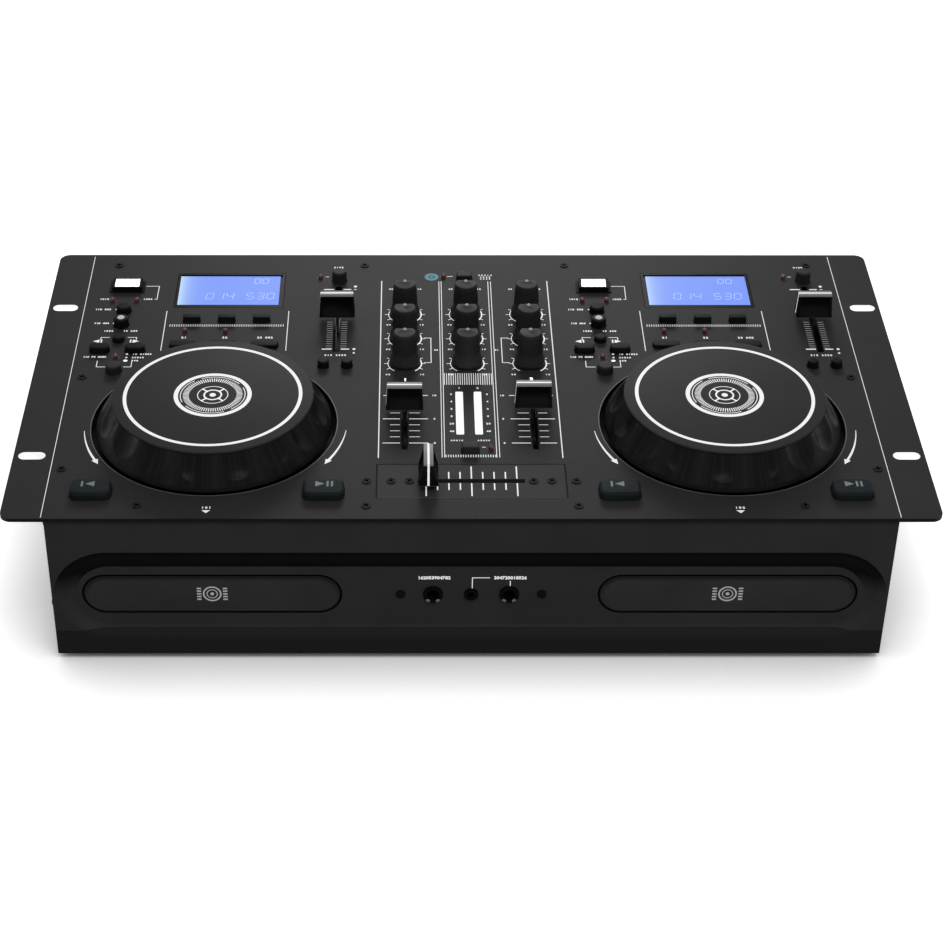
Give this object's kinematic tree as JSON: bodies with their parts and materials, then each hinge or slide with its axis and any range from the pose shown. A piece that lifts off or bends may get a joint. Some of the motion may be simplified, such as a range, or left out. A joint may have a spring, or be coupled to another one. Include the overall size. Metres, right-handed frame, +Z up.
{
  "type": "dual cd player for dj",
  "caption": "Rack-width twin CD player for DJs with two jog wheels, disc trays in the front and a mixer with knobs and faders between the decks.",
  "frame": {"origin": "centre of the bounding box in plan, at the height of the surface that the feet stand on", "axes": "+X to the right along the rack width, +Y to the back, +Z up"},
  "size_m": [0.4826, 0.2662, 0.1143],
  "materials": {
    "panel_paint": "satin black powder coat with white screen print",
    "case_paint": "satin black powder coat",
    "foot_rubber": "moulded black rubber",
    "black_steel": "blackened steel screws",
    "display": "black bezel round a backlit blue display; white light bars on the meter",
    "circuit_board": "green solder mask with black switches and clear red lights",
    "pot_steel": "plated steel cans",
    "housing_plastic": "black moulded plastic",
    "drive_plastic": "dark grey moulded plastic",
    "supply": "board with wound parts and an aluminium heat sink",
    "socket_plastic": "black plastic bodies with plated contacts",
    "key_plastic": "fine-textured black plastic",
    "knob_plastic": "fluted black plastic with a white pointer",
    "fader_plastic": "black plastic with a pale line along the ridge",
    "jog_plastic": "satin black with white printed rings",
    "tray_plastic": "satin black plastic"
  },
  "bodies": {
    "chassis": {"top_panel": "panel_paint", "crossfader_plate": "panel_paint", "case": "case_paint", "front_panel": "case_paint", "rubber_feet": "foot_rubber", "screws": "black_steel", "display_modules": "display", "circuit_boards": "circuit_board", "potentiometers": "pot_steel", "jog_bearings": "housing_plastic", "disc_drives": "drive_plastic", "power_supply": "supply", "sockets": "socket_plastic"},
    "left_jog_wheel": {"left_jog_wheel": "jog_plastic"},
    "left_tray": {"left_tray": "tray_plastic"},
    "left_pitch_fader": {"left_pitch_fader": "fader_plastic"},
    "left_cue": {"left_cue": "key_plastic"},
    "left_play": {"left_play": "key_plastic"},
    "left_select": {"left_select": "key_plastic"},
    "left_eject": {"left_eject": "key_plastic"},
    "left_track": {"left_track": "key_plastic"},
    "left_previous": {"left_previous": "key_plastic"},
    "left_next": {"left_next": "key_plastic"},
    "left_jog_mode": {"left_jog_mode": "key_plastic"},
    "left_pitch": {"left_pitch": "key_plastic"},
    "left_bend_minus": {"left_bend_minus": "key_plastic"},
    "left_bend_plus": {"left_bend_plus": "key_plastic"},
    "left_display_keys": {"left_display_keys": "key_plastic"},
    "left_loop_keys": {"left_loop_keys": "key_plastic"},
    "right_jog_wheel": {"right_jog_wheel": "jog_plastic"},
    "right_tray": {"right_tray": "tray_plastic"},
    "right_pitch_fader": {"right_pitch_fader": "fader_plastic"},
    "right_cue": {"right_cue": "key_plastic"},
    "right_play": {"right_play": "key_plastic"},
    "right_select": {"right_select": "key_plastic"},
    "right_eject": {"right_eject": "key_plastic"},
    "right_track": {"right_track": "key_plastic"},
    "right_previous": {"right_previous": "key_plastic"},
    "right_next": {"right_next": "key_plastic"},
    "right_jog_mode": {"right_jog_mode": "key_plastic"},
    "right_pitch": {"right_pitch": "key_plastic"},
    "right_bend_minus": {"right_bend_minus": "key_plastic"},
    "right_bend_plus": {"right_bend_plus": "key_plastic"},
    "right_display_keys": {"right_display_keys": "key_plastic"},
    "right_loop_keys": {"right_loop_keys": "key_plastic"},
    "source_key": {"source_key": "key_plastic"},
    "delay_key": {"delay_key": "key_plastic"},
    "left_knob_1": {"left_knob_1": "knob_plastic"},
    "centre_knob_1": {"centre_knob_1": "knob_plastic"},
    "right_knob_1": {"right_knob_1": "knob_plastic"},
    "left_knob_2": {"left_knob_2": "knob_plastic"},
    "centre_knob_2": {"centre_knob_2": "knob_plastic"},
    "right_knob_2": {"right_knob_2": "knob_plastic"},
    "left_knob_3": {"left_knob_3": "knob_plastic"},
    "centre_knob_3": {"centre_knob_3": "knob_plastic"},
    "right_knob_3": {"right_knob_3": "knob_plastic"},
    "left_channel_fader": {"left_channel_fader": "fader_plastic"},
    "right_channel_fader": {"right_channel_fader": "fader_plastic"},
    "crossfader": {"crossfader": "fader_plastic"},
    "power_switch": {"power_switch": "key_plastic"}
  },
  "joints": [
    {"name": "left_jog_wheel_spin", "type": "hinge", "parent": "chassis", "child": "left_jog_wheel", "pos_m": [-0.137, -0.0465, 0.093], "axis": [0, 0, 1], "continuous": true},
    {"name": "left_tray_slide", "type": "slide", "parent": "chassis", "child": "left_tray", "axis": [0, -1, 0], "range_m": [0, 0.13]},
    {"name": "left_pitch_fader_slide", "type": "slide", "parent": "chassis", "child": "left_pitch_fader", "axis": [0, 1, 0], "range_m": [-0.03, 0.03]},
    {"name": "left_cue_press", "type": "slide", "parent": "chassis", "child": "left_cue", "axis": [0, 0, -1], "range_m": [0, 0.0015], "stiffness_N_per_m": 400, "springref_m": -0.0005},
    {"name": "left_play_press", "type": "slide", "parent": "chassis", "child": "left_play", "axis": [0, 0, -1], "range_m": [0, 0.0015], "stiffness_N_per_m": 400, "springref_m": -0.0005},
    {"name": "left_select_press", "type": "slide", "parent": "chassis", "child": "left_select", "axis": [0, 0, -1], "range_m": [0, 0.0008], "stiffness_N_per_m": 400, "springref_m": -0.0005},
    {"name": "left_eject_press", "type": "slide", "parent": "chassis", "child": "left_eject", "axis": [0, 0, -1], "range_m": [0, 0.0008], "stiffness_N_per_m": 400, "springref_m": -0.0005},
    {"name": "left_track_press", "type": "slide", "parent": "chassis", "child": "left_track", "axis": [0, 0, -1], "range_m": [0, 0.0008], "stiffness_N_per_m": 400, "springref_m": -0.0005},
    {"name": "left_previous_press", "type": "slide", "parent": "chassis", "child": "left_previous", "axis": [0, 0, -1], "range_m": [0, 0.0008], "stiffness_N_per_m": 400, "springref_m": -0.0005},
    {"name": "left_next_press", "type": "slide", "parent": "chassis", "child": "left_next", "axis": [0, 0, -1], "range_m": [0, 0.0008], "stiffness_N_per_m": 400, "springref_m": -0.0005},
    {"name": "left_jog_mode_press", "type": "slide", "parent": "chassis", "child": "left_jog_mode", "axis": [0, 0, -1], "range_m": [0, 0.0008], "stiffness_N_per_m": 400, "springref_m": -0.0005},
    {"name": "left_pitch_press", "type": "slide", "parent": "chassis", "child": "left_pitch", "axis": [0, 0, -1], "range_m": [0, 0.0008], "stiffness_N_per_m": 400, "springref_m": -0.0005},
    {"name": "left_bend_minus_press", "type": "slide", "parent": "chassis", "child": "left_bend_minus", "axis": [0, 0, -1], "range_m": [0, 0.0008], "stiffness_N_per_m": 400, "springref_m": -0.0005},
    {"name": "left_bend_plus_press", "type": "slide", "parent": "chassis", "child": "left_bend_plus", "axis": [0, 0, -1], "range_m": [0, 0.0008], "stiffness_N_per_m": 400, "springref_m": -0.0005},
    {"name": "left_display_keys_press", "type": "slide", "parent": "chassis", "child": "left_display_keys", "axis": [0, 0, -1], "range_m": [0, 0.0008], "stiffness_N_per_m": 400, "springref_m": -0.0005},
    {"name": "left_loop_keys_press", "type": "slide", "parent": "chassis", "child": "left_loop_keys", "axis": [0, 0, -1], "range_m": [0, 0.0008], "stiffness_N_per_m": 400, "springref_m": -0.0005},
    {"name": "right_jog_wheel_spin", "type": "hinge", "parent": "chassis", "child": "right_jog_wheel", "pos_m": [0.137, -0.0465, 0.093], "axis": [0, 0, 1], "continuous": true},
    {"name": "right_tray_slide", "type": "slide", "parent": "chassis", "child": "right_tray", "axis": [0, -1, 0], "range_m": [0, 0.13]},
    {"name": "right_pitch_fader_slide", "type": "slide", "parent": "chassis", "child": "right_pitch_fader", "axis": [0, 1, 0], "range_m": [-0.03, 0.03]},
    {"name": "right_cue_press", "type": "slide", "parent": "chassis", "child": "right_cue", "axis": [0, 0, -1], "range_m": [0, 0.0015], "stiffness_N_per_m": 400, "springref_m": -0.0005},
    {"name": "right_play_press", "type": "slide", "parent": "chassis", "child": "right_play", "axis": [0, 0, -1], "range_m": [0, 0.0015], "stiffness_N_per_m": 400, "springref_m": -0.0005},
    {"name": "right_select_press", "type": "slide", "parent": "chassis", "child": "right_select", "axis": [0, 0, -1], "range_m": [0, 0.0008], "stiffness_N_per_m": 400, "springref_m": -0.0005},
    {"name": "right_eject_press", "type": "slide", "parent": "chassis", "child": "right_eject", "axis": [0, 0, -1], "range_m": [0, 0.0008], "stiffness_N_per_m": 400, "springref_m": -0.0005},
    {"name": "right_track_press", "type": "slide", "parent": "chassis", "child": "right_track", "axis": [0, 0, -1], "range_m": [0, 0.0008], "stiffness_N_per_m": 400, "springref_m": -0.0005},
    {"name": "right_previous_press", "type": "slide", "parent": "chassis", "child": "right_previous", "axis": [0, 0, -1], "range_m": [0, 0.0008], "stiffness_N_per_m": 400, "springref_m": -0.0005},
    {"name": "right_next_press", "type": "slide", "parent": "chassis", "child": "right_next", "axis": [0, 0, -1], "range_m": [0, 0.0008], "stiffness_N_per_m": 400, "springref_m": -0.0005},
    {"name": "right_jog_mode_press", "type": "slide", "parent": "chassis", "child": "right_jog_mode", "axis": [0, 0, -1], "range_m": [0, 0.0008], "stiffness_N_per_m": 400, "springref_m": -0.0005},
    {"name": "right_pitch_press", "type": "slide", "parent": "chassis", "child": "right_pitch", "axis": [0, 0, -1], "range_m": [0, 0.0008], "stiffness_N_per_m": 400, "springref_m": -0.0005},
    {"name": "right_bend_minus_press", "type": "slide", "parent": "chassis", "child": "right_bend_minus", "axis": [0, 0, -1], "range_m": [0, 0.0008], "stiffness_N_per_m": 400, "springref_m": -0.0005},
    {"name": "right_bend_plus_press", "type": "slide", "parent": "chassis", "child": "right_bend_plus", "axis": [0, 0, -1], "range_m": [0, 0.0008], "stiffness_N_per_m": 400, "springref_m": -0.0005},
    {"name": "right_display_keys_press", "type": "slide", "parent": "chassis", "child": "right_display_keys", "axis": [0, 0, -1], "range_m": [0, 0.0008], "stiffness_N_per_m": 400, "springref_m": -0.0005},
    {"name": "right_loop_keys_press", "type": "slide", "parent": "chassis", "child": "right_loop_keys", "axis": [0, 0, -1], "range_m": [0, 0.0008], "stiffness_N_per_m": 400, "springref_m": -0.0005},
    {"name": "source_key_press", "type": "slide", "parent": "chassis", "child": "source_key", "axis": [0, 0, -1], "range_m": [0, 0.0008], "stiffness_N_per_m": 400, "springref_m": -0.0005},
    {"name": "delay_key_press", "type": "slide", "parent": "chassis", "child": "delay_key", "axis": [0, 0, -1], "range_m": [0, 0.0008], "stiffness_N_per_m": 400, "springref_m": -0.0005},
    {"name": "left_knob_1_turn", "type": "hinge", "parent": "chassis", "child": "left_knob_1", "pos_m": [-0.0344, 0.0658, 0.093], "axis": [0, 0, 1], "range_deg": [-150, 150]},
    {"name": "centre_knob_1_turn", "type": "hinge", "parent": "chassis", "child": "centre_knob_1", "pos_m": [0.0006, 0.0658, 0.093], "axis": [0, 0, 1], "range_deg": [-150, 150]},
    {"name": "right_knob_1_turn", "type": "hinge", "parent": "chassis", "child": "right_knob_1", "pos_m": [0.0356, 0.0658, 0.093], "axis": [0, 0, 1], "range_deg": [-150, 150]},
    {"name": "left_knob_2_turn", "type": "hinge", "parent": "chassis", "child": "left_knob_2", "pos_m": [-0.0344, 0.0397, 0.093], "axis": [0, 0, 1], "range_deg": [-150, 150]},
    {"name": "centre_knob_2_turn", "type": "hinge", "parent": "chassis", "child": "centre_knob_2", "pos_m": [0.0006, 0.0397, 0.093], "axis": [0, 0, 1], "range_deg": [-150, 150]},
    {"name": "right_knob_2_turn", "type": "hinge", "parent": "chassis", "child": "right_knob_2", "pos_m": [0.0356, 0.0397, 0.093], "axis": [0, 0, 1], "range_deg": [-150, 150]},
    {"name": "left_knob_3_turn", "type": "hinge", "parent": "chassis", "child": "left_knob_3", "pos_m": [-0.0344, 0.0137, 0.093], "axis": [0, 0, 1], "range_deg": [-150, 150]},
    {"name": "centre_knob_3_turn", "type": "hinge", "parent": "chassis", "child": "centre_knob_3", "pos_m": [0.0006, 0.0137, 0.093], "axis": [0, 0, 1], "range_deg": [-150, 150]},
    {"name": "right_knob_3_turn", "type": "hinge", "parent": "chassis", "child": "right_knob_3", "pos_m": [0.0356, 0.0137, 0.093], "axis": [0, 0, 1], "range_deg": [-150, 150]},
    {"name": "left_channel_fader_slide", "type": "slide", "parent": "chassis", "child": "left_channel_fader", "axis": [0, 1, 0], "range_m": [-0.0301, 0.0149]},
    {"name": "right_channel_fader_slide", "type": "slide", "parent": "chassis", "child": "right_channel_fader", "axis": [0, 1, 0], "range_m": [-0.0321, 0.0129]},
    {"name": "crossfader_slide", "type": "slide", "parent": "chassis", "child": "crossfader", "axis": [1, 0, 0], "range_m": [0, 0.045]},
    {"name": "power_switch_tilt", "type": "hinge", "parent": "chassis", "child": "power_switch", "pos_m": [0.15, 0.124, 0.046], "axis": [1, 0, 0], "range_deg": [0, 16]}
  ]
}
